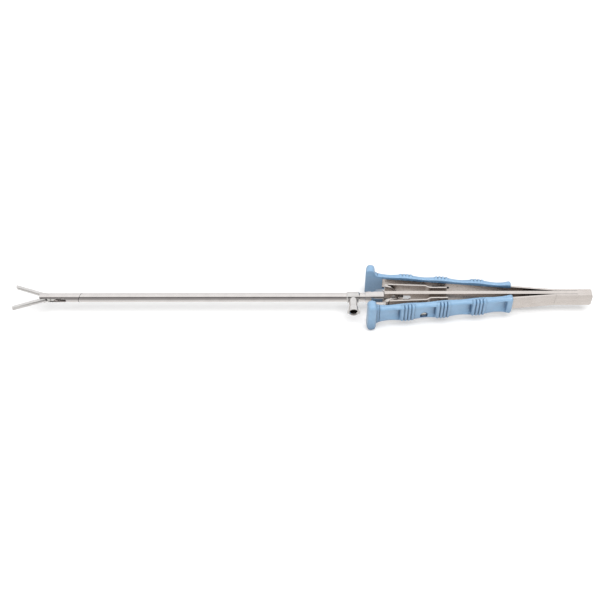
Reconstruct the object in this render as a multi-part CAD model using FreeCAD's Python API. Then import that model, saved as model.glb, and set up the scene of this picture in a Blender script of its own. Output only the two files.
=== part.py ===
import FreeCAD, Part
import math
import os

# Thoracoscopic grasping forceps with fine-toothed jaws: a long tubular shaft with
# a flushing port, double action jaws, and a leaf spring handle with moulded grips.
#
# Everything is drawn in millimetres with the shaft axis on X and the jaw pivot
# at x = 0, tail towards +X. The handle is squeezed along Y. At the end each
# piece is moved so that the origin lies under the middle of the forceps.
# "Right" is the +Y side, as seen by the hand that holds the handle.

V = FreeCAD.Vector
X_AXIS = V(1, 0, 0)
Y_AXIS = V(0, 1, 0)
Z_AXIS = V(0, 0, 1)
NUDGE = 0.2                 # how far a cutting solid runs past the face it opens

# Fits
RUN_GAP = 0.04              # radial clearance of a pin that turns in its eye
SIDE_GAP = 0.05             # gap between faces that slide past each other
BORE_GAP = 0.10             # radial clearance of the pull rod in its guides

# Shaft
TUBE_R = 2.8
TUBE_WALL = 0.5
TUBE_SEAT_R = 2.6           # turned down under the port ring and in the hub
TUBE_LENGTH = 177.2         # from the fork seam to the hub cone
TUBE_IN_HUB = 5.6           # length of tube hidden in the hub
SEAM_SLANT = 25.0           # degrees, the seam between fork and tube
ROD_R = 0.8

# Jaw fork
FORK_NOSE = 5.3             # in front of the jaw pivot
FORK_LENGTH = 20.3          # from the jaw pivot to the seam
FORK_SLOT = 3.0             # width of the slot that holds the jaws
FORK_SLOT_END = 11.5        # behind the jaw pivot
FORK_SPIGOT = 6.0           # length of the spigot inside the tube
FORK_NOSE_R = 1.8           # rounded corners of the cheeks
FORK_TIP_R = 2.6            # the nose tapers, to enter a trocar with ease
FORK_TAPER = 4.2            # the taper ends behind the jaw pivot
PIVOT_R = 0.7

# Jaws
JAW_OPEN = 20.0             # degrees, each jaw from the shaft axis
JAW_LENGTH = 23.0           # from the pivot to the tip
JAW_WIDTH = 2.6
JAW_BACK = 2.0              # thickness of one jaw at its root
JAW_TIP = 1.45              # thickness of one jaw at its tip
JAW_FACE = 0.20             # base of the biting face, off the closing plane
JAW_BOSS_R = 2.1
TOOTH_PITCH = 0.6
TOOTH_REACH = 0.12          # how far the teeth pass the closing plane
TOOTH_DEPTH = 0.18
TOOTH_ROW = 0.6             # width of the middle row
TOOTH_ROW_GAP = 0.08        # between the middle row and the rows beside it
TOOTHED_LENGTH = 17.4
TOOTH_TIP_MARGIN = 0.9      # smooth stretch at the tip

# Jaw linkage
LEVER_R = 3.4               # from the jaw pivot to the knee pin
LEVER_ANGLE = 14.0          # degrees, the lever behind the closed jaw
LEVER_THICK = 0.70
KNEE_THICK = 0.64
KNEE_EYE_R = 0.95
KNEE_PIN_R = 0.42
ROD_PIN_X = 6.4             # the rod's cross pin, jaws open
ROD_PIN_R = 0.45
ROD_EYE_R = 0.95
LOOP_SLOT = 0.20            # extra length of the eyes at the opened pivots

# Flushing port
PORT_AHEAD = 7.5            # port axis in front of the hub cone
PORT_RING_LENGTH = 8.1
PORT_RING_R = 3.45
PORT_REACH = 12.2           # from the shaft axis to the mouth
PORT_NECK_R = 2.75
PORT_HEAD_R = 3.2
PORT_HEAD_LENGTH = 3.4
PORT_LUG_R = 3.9
PORT_LUG_WIDTH = 2.6
PORT_LUG_THICK = 1.2
PORT_BORE_R = 2.15
PORT_BORE_LENGTH = 7.0
PORT_LEAD = 0.6             # funnel at the mouth
PORT_JET_R = 1.1
SEAL_LENGTH = 2.6
SEAL_BEHIND_PORT = 4.4

# Hub
CONE_LENGTH = 3.7
HUB_R = 4.3
HUB_LENGTH = 8.1
HUB_LIP = 0.35              # step at the thin end of the cone
HUB_CHAMFER = 0.4

# Centre bar
BAR_THICK = 2.4
BAR_HEIGHT = 9.2
BAR_LENGTH = 129.2          # from the hub to the tail end
TENON_LENGTH = 4.6
TENON_HEIGHT = 7.0
WINDOW_START = 3.9          # behind the hub
WINDOW_LENGTH = 12.6
WINDOW_HEIGHT = 6.0
TAIL_CORNER_R = 1.5

# Spring arms
ARM_ANGLE = 5.57            # degrees, each arm from the bar at rest
ARM_THICK = 1.15
ARM_HEIGHT = 10.0
ARM_SLIT = 0.2              # between the bar and each arm at the tail
ARM_FLEX = 23.1             # from the tail end to the bending line
ARM_WELD = 9.3              # length of the solid tail end
ARM_WIDENS = 34.0           # the arm has its full height from here
ARM_TIP_R = 2.0
FLEX_GAP = 0.05
ARM_SLOT_LENGTH = 10.4
ARM_SLOT_HEIGHT = 1.7

# Grips
GRIP_HEIGHT = 13.0
GRIP_END = 27.2             # rear end of the grip, from the bending line
GRIP_LIP = 0.4              # lip over the inner face of the arm
GRIP_LIP_WIDTH = 0.8
PAD_MEAN = 1.95             # pad over the outer face of the arm
PAD_WAVE = 0.38
RIDGE_CENTRE = 92.8         # middle of the front group of ridges
RIDGE_GROUP_PITCH = 22.2
RIDGE_GROUPS = 3
RIDGES = 4
RIDGE_PITCH = 3.1
RIDGE_R = 0.85
RIDGE_RISE = 0.5
RIDGE_END_R = 0.28           # rounding of the ends of a ridge
SCOOP_LENGTH = 8.4
SCOOP_DEPTH = 1.35
SCOOP_START = 0.35          # depth at the shallow end
SCOOP_FLOOR_R = 0.8
SCOOP_RIM = 1.5             # rim left beside a scoop
COLLAR_LENGTH = 10.8
COLLAR_WALL = 0.6           # collar over the inner face of the arm
COLLAR_END = 1.6            # collar in front of the end of the arm
STOP_LENGTH = 5.5           # finger stop, a crossbar taller than the grip
STOP_HEIGHT = 22.6
STOP_OUT = 4.9              # outer face, from the middle of the arm
STOP_END_R = 2.5            # rounded upper and lower ends
STOP_EDGE_R = 1.9           # rounded outer edges
STOP_FILLET = 2.4           # between its back and the edges of the grip
SCORE_OFF = 3.4             # two scored lines along the collar's inner face
SCORE_R = 0.9
SCORE_DEPTH = 0.45
SEAM_BEHIND = 9.3           # seam line, from the front face of the collar
SEAM_WIDTH = 0.35
SEAM_DEPTH = 0.25
GRIP_ROUND = 1.0

# Grip screws
SCREW_AT = 82.4
SCREW_OFF = 3.2             # below or above the middle of the grip
SCREW_HEAD_R = 2.0
SCREW_HEAD_THICK = 0.8
SCREW_CHAMFER = 0.27
SCREW_SLOT_WIDTH = 0.58
SCREW_R = 1.0
SCREW_TAIL = 0.25           # what shows on the inner face of the arm
SCREW_GAP = 0.08

# Inner leaves
LEAF_THICK = 0.9
LEAF_BEND_START = 23.4      # behind the link pin
LEAF_BEND_LENGTH = 4.6
LEAF_END = 37.6
LEAF_FALL = 1.0             # slope of the long stretch, over its length
LEAF_GAP = 2.5              # between the flat stretch and the bar
EYE_R = 1.1
POST_AT = 34.6              # behind the link pin
POST_LENGTH = 3.3
POST_HEIGHT = 7.8
POST_PLATE = 0.55
POST_TONGUE = 1.5
RIVET_R = 1.9
RIVET_THICK = 0.7

# Handle links and slider
LINK_PIN_X = 1.5            # link pin behind the hub
LINK_PIN_Y = 6.1
LINK_PIN_R = 0.5
LINK_THICK = 1.0
LINK_HEIGHT = 8.4
LINK_BOW = 0.7
SLIDER_PIN_X = 10.5         # slider pins behind the hub
SLIDER_PIN_Y = 1.3
SLIDER_PIN_R = 0.5
SLIDER_TONGUE = 2.8         # height of the link between the slider's cheeks
SLIDER_CHEEK = 1.15
SLIDER_WEB = 2.6
SLIDER_BACK = 1.3           # cheek behind its pins

# Places along the shaft, from the jaw pivot
SEAM_X = FORK_LENGTH
CONE_X = SEAM_X + TUBE_LENGTH
PORT_X = CONE_X - PORT_AHEAD
PORT_FRONT = PORT_X - PORT_RING_LENGTH / 2
HUB_X = CONE_X + CONE_LENGTH
BAR_X = HUB_X + HUB_LENGTH
TAIL_X = BAR_X + BAR_LENGTH
FLEX_X = TAIL_X - ARM_FLEX
FLEX_Y = BAR_THICK / 2 + ARM_SLIT + ARM_THICK / 2
COLLAR_FRONT = FLEX_X - CONE_X   # the collars end beside the front of the hub's cone
ARM_LENGTH = COLLAR_FRONT - COLLAR_END
SEAM_AT = COLLAR_FRONT - SEAM_BEHIND
PIN_X = BAR_X + LINK_PIN_X
SLIDER_X = BAR_X + SLIDER_PIN_X
SLOT_HALF = FORK_SLOT / 2
BORE_R = ROD_R + BORE_GAP
TUBE_BORE_R = TUBE_R - TUBE_WALL
ARM_HALF = ARM_THICK / 2
LEAF_Y = BAR_THICK / 2 + LEAF_GAP + LEAF_THICK / 2

# Length over all with the jaws open, and where the origin goes
TIP_R = JAW_TIP / 2
TIP_MIDDLE = JAW_FACE + TIP_R
OPEN = math.radians(JAW_OPEN)
REACH = (JAW_LENGTH - TIP_R) * math.cos(OPEN) - TIP_MIDDLE * math.sin(OPEN) + TIP_R
ORIGIN_X = (TAIL_X - REACH) / 2
ORIGIN_Z = -STOP_HEIGHT / 2


def box(x0, x1, y0, y1, z0, z1):
    return Part.makeBox(x1 - x0, y1 - y0, z1 - z0, V(x0, y0, z0))


def rod_x(radius, x0, x1):
    return Part.makeCylinder(radius, x1 - x0, V(x0, 0, 0), X_AXIS)


def pin_z(radius, x, y, z0, z1):
    return Part.makeCylinder(radius, z1 - z0, V(x, y, z0), Z_AXIS)


def prism_z(points, z0, z1):
    corners = [V(x, y, z0) for x, y in points]
    face = Part.Face(Part.makePolygon(corners + corners[:1]))
    return face.extrude(V(0, 0, z1 - z0))


def prism_y(points, y0, y1):
    corners = [V(x, y0, z) for x, z in points]
    face = Part.Face(Part.makePolygon(corners + corners[:1]))
    return face.extrude(V(0, y1 - y0, 0))


def slot_z(radius, x, y, length, angle, z0, z1):
    """A hole along Z, longer by length in the direction of angle."""
    dx = math.cos(angle) * length / 2
    dy = math.sin(angle) * length / 2
    ends = pin_z(radius, x - dx, y - dy, z0, z1).fuse(pin_z(radius, x + dx, y + dy, z0, z1))
    nx = -math.sin(angle) * radius
    ny = math.cos(angle) * radius
    corners = [(x - dx + nx, y - dy + ny), (x + dx + nx, y + dy + ny),
               (x + dx - nx, y + dy - ny), (x - dx - nx, y - dy - ny)]
    return ends.fuse(prism_z(corners, z0, z1))


def round_edges(solid, radius, chosen):
    edges = [edge for edge in solid.Edges if chosen(edge)]
    return solid.makeFillet(radius, edges)


def along_z(edge):
    spread = edge.BoundBox
    return spread.ZLength > NUDGE and spread.XLength < 1e-6 and spread.YLength < 1e-6


def turned(shape, angle):
    copy = shape.copy()
    copy.rotate(V(0, 0, 0), Z_AXIS, angle)
    return copy


def other_side(shape):
    """The same piece on the left: a half turn about the shaft axis."""
    copy = shape.copy()
    copy.rotate(V(0, 0, 0), X_AXIS, 180)
    return copy


# Shaft: fork, tube, port, hub and bar

def seam_cutter(x, behind):
    """Everything in front of the slanted seam, or behind it."""
    size = 4 * TUBE_R
    start = 0 if behind else -size
    block = Part.makeBox(size, 2 * size, 2 * size, V(start, -size, -size))
    block.rotate(V(0, 0, 0), Z_AXIS, -SEAM_SLANT)
    block.translate(V(x, 0, 0))
    return block


def jaw_fork():
    slant = TUBE_R * math.tan(math.radians(SEAM_SLANT))
    slot_end = FORK_SLOT_END - SLOT_HALF
    behind = rod_x(TUBE_R, slot_end, SEAM_X + slant).cut(seam_cutter(SEAM_X, True))
    spigot = rod_x(TUBE_BORE_R, SEAM_X - slant, SEAM_X + FORK_SPIGOT)
    nose = Part.makeCone(FORK_TIP_R, TUBE_R, FORK_NOSE + FORK_TAPER, V(-FORK_NOSE, 0, 0), X_AXIS)
    body = rod_x(TUBE_R, FORK_TAPER, slot_end).fuse(behind.fuse(spigot).removeSplitter())
    body = body.fuse(nose)
    outline = box(-FORK_NOSE, SEAM_X + FORK_SPIGOT + NUDGE, -TUBE_R, TUBE_R, -TUBE_R, TUBE_R)
    outline = round_edges(outline, FORK_NOSE_R,
                          lambda e: along_z(e) and e.BoundBox.XMax < 0)
    body = body.common(outline)
    half = SLOT_HALF
    slot = box(-FORK_NOSE - NUDGE, slot_end, -2 * TUBE_R, 2 * TUBE_R, -half, half)
    end = Part.makeCylinder(half, 4 * TUBE_R, V(slot_end, -2 * TUBE_R, 0), Y_AXIS)
    body = body.cut(slot).cut(end)
    body = body.cut(rod_x(BORE_R, slot_end, SEAM_X + FORK_SPIGOT + NUDGE))
    return body.cut(pin_z(PIVOT_R, 0, 0, -2 * TUBE_R, 2 * TUBE_R))


def jaw_pivot_pin():
    share = (FORK_NOSE - PIVOT_R) / (FORK_NOSE + FORK_TAPER)
    cheek = FORK_TIP_R + share * (TUBE_R - FORK_TIP_R)
    flush = math.sqrt(cheek ** 2 - PIVOT_R ** 2)
    return pin_z(PIVOT_R, 0, 0, -flush, flush)


def shaft_tube():
    slant = TUBE_R * math.tan(math.radians(SEAM_SLANT))
    end = CONE_X + TUBE_IN_HUB
    ring_back = PORT_FRONT + PORT_RING_LENGTH
    body = rod_x(TUBE_R, SEAM_X - slant, PORT_FRONT).cut(seam_cutter(SEAM_X, False))
    body = body.fuse(rod_x(TUBE_SEAT_R, PORT_X - PORT_RING_LENGTH, end))
    body = body.fuse(rod_x(TUBE_R, ring_back, CONE_X))
    body = body.cut(rod_x(TUBE_BORE_R, SEAM_X - 2 * slant, end + NUDGE))
    jet = Part.makeCylinder(PORT_JET_R, 2 * TUBE_R, V(PORT_X, 0, 0), -Y_AXIS)
    return body.cut(jet)


def port_ring():
    front = PORT_FRONT
    ring = rod_x(PORT_RING_R, front, front + PORT_RING_LENGTH)
    ring = ring.makeChamfer(PORT_RING_R - TUBE_R - SIDE_GAP,
                            [e for e in ring.Edges if isinstance(e.Curve, Part.Circle)])
    ring = ring.cut(rod_x(TUBE_SEAT_R, front - NUDGE, front + PORT_RING_LENGTH + NUDGE))
    seat = Part.makeCylinder(PORT_NECK_R, 2 * PORT_RING_R, V(PORT_X, 0, 0), -Y_AXIS)
    return ring.cut(seat)


def luer_port():
    neck = Part.makeCylinder(PORT_NECK_R, PORT_REACH, V(PORT_X, 0, 0), -Y_AXIS)
    head_at = PORT_REACH - PORT_HEAD_LENGTH
    head = Part.makeCylinder(PORT_HEAD_R, PORT_HEAD_LENGTH, V(PORT_X, -head_at, 0), -Y_AXIS)
    step = PORT_HEAD_R - PORT_NECK_R
    shoulder = Part.makeCone(PORT_NECK_R, PORT_HEAD_R, step, V(PORT_X, step - head_at, 0), -Y_AXIS)
    lugs = Part.makeCylinder(PORT_LUG_R, PORT_LUG_THICK,
                             V(PORT_X, PORT_LUG_THICK - PORT_REACH, 0), -Y_AXIS)
    half = PORT_LUG_WIDTH / 2
    lugs = lugs.common(box(PORT_X - PORT_LUG_R, PORT_X + PORT_LUG_R,
                           -PORT_REACH, 0, -half, half))
    body = neck.fuse(head).fuse(shoulder).fuse(lugs).removeSplitter()
    body = body.cut(rod_x(TUBE_SEAT_R, PORT_X - 2 * PORT_NECK_R, PORT_X + 2 * PORT_NECK_R))
    wide = PORT_BORE_R + PORT_LEAD
    funnel = Part.makeCone(wide, PORT_BORE_R, PORT_LEAD, V(PORT_X, -PORT_REACH, 0), Y_AXIS)
    bore = Part.makeCylinder(PORT_BORE_R, PORT_BORE_LENGTH,
                             V(PORT_X, PORT_LEAD - PORT_REACH, 0), Y_AXIS)
    jet = Part.makeCylinder(PORT_JET_R, PORT_REACH, V(PORT_X, 0, 0), -Y_AXIS)
    return body.cut(funnel).cut(bore).cut(jet)


def rod_seal():
    front = PORT_X + SEAL_BEHIND_PORT
    ring = rod_x(TUBE_BORE_R, front, front + SEAL_LENGTH)
    return ring.cut(rod_x(BORE_R, front - NUDGE, front + SEAL_LENGTH + NUDGE))


def hub():
    thin = TUBE_R + HUB_LIP
    cone = Part.makeCone(thin, HUB_R, CONE_LENGTH, V(CONE_X, 0, 0), X_AXIS)
    barrel = rod_x(HUB_R, HUB_X, BAR_X)
    barrel = barrel.makeChamfer(HUB_CHAMFER, [e for e in barrel.Edges
                                              if e.BoundBox.XMin > BAR_X - NUDGE])
    body = cone.fuse(barrel).removeSplitter()
    body = body.cut(rod_x(TUBE_SEAT_R, CONE_X - NUDGE, CONE_X + TUBE_IN_HUB))
    body = body.cut(rod_x(BORE_R, CONE_X, BAR_X + NUDGE))
    half = TENON_HEIGHT / 2
    mortise = box(BAR_X - TENON_LENGTH, BAR_X + NUDGE, -BAR_THICK / 2, BAR_THICK / 2, -half, half)
    return body.cut(mortise)


def tail_outline(front, y0, y1, height):
    """A plate that ends at the tail with rounded corners."""
    plate = box(front, TAIL_X, y0, y1, -height / 2, height / 2)

    def rear_corner(edge):
        spread = edge.BoundBox
        return spread.XMin > TAIL_X - NUDGE and spread.YLength > NUDGE and spread.ZLength < NUDGE

    return round_edges(plate, TAIL_CORNER_R, rear_corner)


def centre_bar():
    half = BAR_THICK / 2
    bar = tail_outline(BAR_X, -half, half, BAR_HEIGHT)
    tenon = box(BAR_X - TENON_LENGTH, BAR_X, -half, half, -TENON_HEIGHT / 2, TENON_HEIGHT / 2)
    bar = bar.fuse(tenon).removeSplitter()
    start = BAR_X + WINDOW_START
    window = box(start, start + WINDOW_LENGTH, -BAR_THICK, BAR_THICK,
                 -WINDOW_HEIGHT / 2, WINDOW_HEIGHT / 2)
    window = window.makeFillet(WINDOW_HEIGHT / 4, [e for e in window.Edges
                                                   if e.BoundBox.YLength > BAR_THICK])
    lane = BORE_R + BORE_GAP
    rod_lane = box(BAR_X - TENON_LENGTH - NUDGE, start + WINDOW_HEIGHT / 2,
                   -BAR_THICK, BAR_THICK, -lane, lane)
    return bar.cut(window).cut(rod_lane)


# Jaws and their linkage

def tooth_comb(face, reach, z0, z1):
    """One row of fine teeth along the biting face of a closed right jaw."""
    first = -(JAW_LENGTH - TIP_R - TOOTH_TIP_MARGIN)
    count = int(TOOTHED_LENGTH / TOOTH_PITCH)
    root = reach + TOOTH_DEPTH
    points = [(first, face + NUDGE), (first, root)]
    for i in range(count):
        x = first + i * TOOTH_PITCH
        points.append((x + TOOTH_PITCH / 2, reach))
        points.append((x + TOOTH_PITCH, root))
    points.append((first + count * TOOTH_PITCH, face + NUDGE))
    return prism_z(points, z0, z1)


def jaw_blade():
    """Working part of the closed right jaw: D section, tapering to the tip."""
    root = -JAW_BOSS_R
    tip = TIP_R - JAW_LENGTH
    top = JAW_FACE + JAW_TIP
    half = JAW_WIDTH / 2
    back = JAW_FACE + JAW_BACK
    edges = [
        Part.LineSegment(V(root, JAW_FACE, -half), V(tip, JAW_FACE, -half)).toShape(),
        Part.Arc(V(tip, JAW_FACE, -half), V(-JAW_LENGTH, JAW_FACE + TIP_R, -half),
                 V(tip, top, -half)).toShape(),
        Part.LineSegment(V(tip, top, -half), V(root, back, -half)).toShape(),
        Part.LineSegment(V(root, back, -half), V(root, JAW_FACE, -half)).toShape(),
    ]
    side = Part.Face(Part.Wire(edges)).extrude(V(0, 0, JAW_WIDTH))
    shoulder = back / 2
    section = [
        Part.LineSegment(V(root, -NUDGE, half), V(root, -NUDGE, -half)).toShape(),
        Part.LineSegment(V(root, -NUDGE, -half), V(root, shoulder, -half)).toShape(),
        Part.Arc(V(root, shoulder, -half), V(root, back, 0), V(root, shoulder, half)).toShape(),
        Part.LineSegment(V(root, shoulder, half), V(root, -NUDGE, half)).toShape(),
    ]
    round_back = Part.Face(Part.Wire(section)).extrude(V(-JAW_LENGTH, 0, 0))
    return side.common(round_back)


def jaw(rows):
    """The closed right jaw, its teeth in the given rows, its lever behind."""
    top = SLOT_HALF - SIDE_GAP
    blade = jaw_blade()
    inner = JAW_BOSS_R + 2 * SIDE_GAP
    blade = blade.cut(pin_z(inner, 0, 0, -JAW_WIDTH, SIDE_GAP))
    neck = box(-JAW_BOSS_R - JAW_BACK, 0, JAW_FACE, JAW_BOSS_R, SIDE_GAP, JAW_WIDTH / 2)
    boss = pin_z(JAW_BOSS_R, 0, 0, SIDE_GAP, top)
    body = blade.fuse(neck.common(pin_z(JAW_BOSS_R + JAW_BACK, 0, 0, 0, top))).fuse(boss)
    angle = math.radians(-LEVER_ANGLE)
    knee_x = LEVER_R * math.cos(angle)
    knee_y = LEVER_R * math.sin(angle)
    reach = SIDE_GAP + LEVER_THICK
    lever = slot_z(KNEE_EYE_R, knee_x / 2, knee_y / 2, LEVER_R, angle, SIDE_GAP, reach)
    body = body.fuse(lever).removeSplitter()
    for z0, z1 in rows:
        body = body.fuse(tooth_comb(JAW_FACE, -TOOTH_REACH, z0, z1))
    body = body.removeSplitter()
    body = body.cut(pin_z(PIVOT_R + RUN_GAP, 0, 0, -top, 2 * top))
    return body.cut(pin_z(KNEE_PIN_R, knee_x, knee_y, 0, 2 * top))


def right_jaw():
    half = TOOTH_ROW / 2
    return turned(jaw([(-half, half)]), -JAW_OPEN)


def left_jaw():
    start = TOOTH_ROW / 2 + TOOTH_ROW_GAP
    end = JAW_WIDTH / 2 - TOOTH_ROW_GAP
    return other_side(turned(jaw([(start, end), (-end, -start)]), -JAW_OPEN))


def knee_place():
    """The right knee pin with the jaws open."""
    angle = math.radians(-LEVER_ANGLE - JAW_OPEN)
    return LEVER_R * math.cos(angle), LEVER_R * math.sin(angle)


def knee_levels():
    low = 2 * SIDE_GAP + LEVER_THICK
    return low, low + KNEE_THICK


def knee_link():
    x, y = knee_place()
    low, high = knee_levels()
    angle = math.atan2(-y, ROD_PIN_X - x)
    span = math.hypot(ROD_PIN_X - x, y)
    body = slot_z(KNEE_EYE_R, (x + ROD_PIN_X) / 2, y / 2, span, angle, low, high)
    body = body.cut(pin_z(KNEE_PIN_R + RUN_GAP, x, y, 0, FORK_SLOT))
    hole = slot_z(ROD_PIN_R + RUN_GAP, ROD_PIN_X, 0, LOOP_SLOT, angle, 0, FORK_SLOT)
    return body.cut(hole)


def knee_pin():
    x, y = knee_place()
    return pin_z(KNEE_PIN_R, x, y, SIDE_GAP, knee_levels()[1])


def rod_cross_pin():
    reach = knee_levels()[1]
    return pin_z(ROD_PIN_R, ROD_PIN_X, 0, -reach, reach)


def pull_rod():
    end = SLIDER_X - SLIDER_BACK
    body = rod_x(ROD_R, ROD_PIN_X, end)
    low = knee_levels()[0] - SIDE_GAP
    eye = pin_z(ROD_EYE_R, ROD_PIN_X, 0, -low, low)
    clear = ROD_EYE_R + 2 * LOOP_SLOT
    for side in (-1, 1):
        z0, z1 = sorted((side * low, side * 2 * ROD_R))
        body = body.cut(box(ROD_PIN_X - clear, ROD_PIN_X + clear, -ROD_R, ROD_R, z0, z1))
    return body.fuse(eye).removeSplitter().cut(pin_z(ROD_PIN_R, ROD_PIN_X, 0, -low, low))


# Slider in the window of the bar

def slider():
    inside = SLIDER_TONGUE / 2 + SIDE_GAP
    outside = inside + SLIDER_CHEEK
    wide = SLIDER_PIN_Y + EYE_R
    narrow = BAR_THICK / 2 - 2 * SIDE_GAP
    web_back = SLIDER_X - SLIDER_BACK
    body = box(web_back - SLIDER_WEB, web_back, -narrow, narrow, -outside, outside)
    for side in (-1, 1):
        z0, z1 = sorted((side * inside, side * outside))
        cheek = box(web_back - SLIDER_WEB / 4, SLIDER_X + SLIDER_BACK, -wide, wide, z0, z1)
        body = body.fuse(round_edges(cheek, EYE_R / 2, along_z))
    body = body.removeSplitter().cut(rod_x(ROD_R, web_back - SLIDER_WEB - NUDGE, web_back))
    for y in (-SLIDER_PIN_Y, SLIDER_PIN_Y):
        body = body.cut(pin_z(SLIDER_PIN_R, SLIDER_X, y, -2 * outside, 2 * outside))
    return body


def slider_pins():
    reach = SLIDER_TONGUE / 2 + SIDE_GAP + SLIDER_CHEEK
    pins = [pin_z(SLIDER_PIN_R, SLIDER_X, y, -reach, reach)
            for y in (-SLIDER_PIN_Y, SLIDER_PIN_Y)]
    return Part.makeCompound(pins)


# Right link, from the leaf's front eye to the slider

def bowed_strip(x0, y0, x1, y1, bow, thick, height):
    """A strip on edge between two points, bowed outwards."""
    dx = x1 - x0
    dy = y1 - y0
    span = math.hypot(dx, dy)
    nx = -dy / span
    ny = dx / span
    edges = []
    sides = []
    for side in (1, -1):
        off = side * thick / 2
        start = V(x0 + nx * off, y0 + ny * off, -height / 2)
        mid = V((x0 + x1) / 2 + nx * (bow + off), (y0 + y1) / 2 + ny * (bow + off), -height / 2)
        end = V(x1 + nx * off, y1 + ny * off, -height / 2)
        edges.append(Part.Arc(start, mid, end).toShape())
        sides.append((start, end))
    edges.append(Part.LineSegment(sides[0][0], sides[1][0]).toShape())
    edges.append(Part.LineSegment(sides[0][1], sides[1][1]).toShape())
    wire = Part.Wire(Part.__sortEdges__(edges))
    return Part.Face(wire).extrude(V(0, 0, height))


def handle_link():
    half = LINK_HEIGHT / 2
    tongue = SLIDER_TONGUE / 2 - SIDE_GAP
    x0, y0 = PIN_X, LINK_PIN_Y - EYE_R + LINK_THICK / 2
    x1, y1 = SLIDER_X, SLIDER_PIN_Y
    strip = bowed_strip(x0, y0, x1, y1, LINK_BOW, LINK_THICK, LINK_HEIGHT)
    shallow_at = SLIDER_X - SLIDER_PIN_X / 2
    taper = [(PIN_X - 2 * EYE_R, -half), (shallow_at - EYE_R, -half),
             (SLIDER_X - 2 * EYE_R, -tongue), (SLIDER_X + 2 * EYE_R, -tongue),
             (SLIDER_X + 2 * EYE_R, tongue), (SLIDER_X - 2 * EYE_R, tongue),
             (shallow_at - EYE_R, half), (PIN_X - 2 * EYE_R, half)]
    strip = strip.common(prism_y(taper, -LINK_PIN_Y, 2 * LINK_PIN_Y))
    front = pin_z(EYE_R, PIN_X, LINK_PIN_Y, -half, half)
    rear = pin_z(EYE_R - SIDE_GAP, x1, y1, -tongue, tongue)
    body = strip.fuse(front).fuse(rear).removeSplitter()
    gap = SLIDER_TONGUE / 2 + SIDE_GAP
    body = body.cut(pin_z(EYE_R + 2 * SIDE_GAP, PIN_X, LINK_PIN_Y, -gap, gap))
    body = body.cut(pin_z(LINK_PIN_R + RUN_GAP, PIN_X, LINK_PIN_Y, -half - NUDGE, half + NUDGE))
    angle = math.atan2(y1 - LINK_PIN_Y, x1 - PIN_X)
    return body.cut(slot_z(SLIDER_PIN_R + RUN_GAP, x1, y1, LOOP_SLOT, angle, -half, half))


def link_pin():
    half = LINK_HEIGHT / 2
    return pin_z(LINK_PIN_R, PIN_X, LINK_PIN_Y, -half, half)


# Right inner leaf

def leaf_outline(y_shift):
    """Centre line of the leaf, seen from above, moved sideways."""
    front = LINK_PIN_Y + EYE_R - LEAF_THICK / 2 + y_shift
    bend = front - LEAF_FALL
    flat = LEAF_Y + y_shift
    start = PIN_X + LEAF_BEND_START
    end = start + LEAF_BEND_LENGTH
    return [V(PIN_X, front, 0), V(start, bend, 0), V(end, flat, 0), V(PIN_X + LEAF_END, flat, 0)]


def leaf_side(y_shift, z):
    front, start, end, rear = leaf_outline(y_shift)
    shape = Part.BSplineCurve()
    slope = V(LEAF_BEND_START, -LEAF_FALL, 0)
    slope.normalize()
    pull = LEAF_BEND_LENGTH / 2
    bend = Part.BezierCurve()
    bend.setPoles([start, start + slope * pull, end - X_AXIS * pull, end])
    pieces = [Part.LineSegment(front, start).toShape(), bend.toShape(),
              Part.LineSegment(end, rear).toShape()]
    for piece in pieces:
        piece.translate(V(0, 0, z))
    return pieces, front + V(0, 0, z), rear + V(0, 0, z)


def inner_leaf():
    z = -BAR_HEIGHT / 2
    outer, outer_front, outer_rear = leaf_side(LEAF_THICK / 2, z)
    inner, inner_front, inner_rear = leaf_side(-LEAF_THICK / 2, z)
    caps = [Part.LineSegment(outer_front, inner_front).toShape(),
            Part.LineSegment(outer_rear, inner_rear).toShape()]
    wire = Part.Wire(Part.__sortEdges__(outer + inner + caps))
    body = Part.Face(wire).extrude(V(0, 0, BAR_HEIGHT))
    knuckle = SLIDER_TONGUE / 2 - SIDE_GAP
    notch = PIN_X + EYE_R + 3 * SIDE_GAP
    for side in (-1, 1):
        z0, z1 = sorted((side * knuckle, side * BAR_HEIGHT))
        body = body.cut(box(PIN_X - 2 * EYE_R, notch, 0, 2 * LINK_PIN_Y, z0, z1))
    body = body.fuse(pin_z(EYE_R, PIN_X, LINK_PIN_Y, -knuckle, knuckle)).removeSplitter()
    return body.cut(pin_z(LINK_PIN_R, PIN_X, LINK_PIN_Y, -BAR_HEIGHT, BAR_HEIGHT))


# Right spring arm. It is drawn flat along -X from the bending line, outwards
# is +Y, and then turned and moved to its place.

def arm_place(shape):
    shape = turned(shape, -ARM_ANGLE)
    shape.translate(V(FLEX_X, FLEX_Y, 0))
    return shape


def arm_height_outline():
    """The arm from the side, as points along it and across it."""
    tail = BAR_HEIGHT / 2
    full = ARM_HEIGHT / 2
    return [(0, -tail), (0, tail), (-ARM_WIDENS, full), (-ARM_LENGTH, full),
            (-ARM_LENGTH, -full), (-ARM_WIDENS, -full)]


def post_x():
    """Place of the leaf post along the flat arm, from the bending line."""
    angle = math.radians(ARM_ANGLE)
    dx = PIN_X + POST_AT - FLEX_X
    return dx / math.cos(angle)


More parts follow.
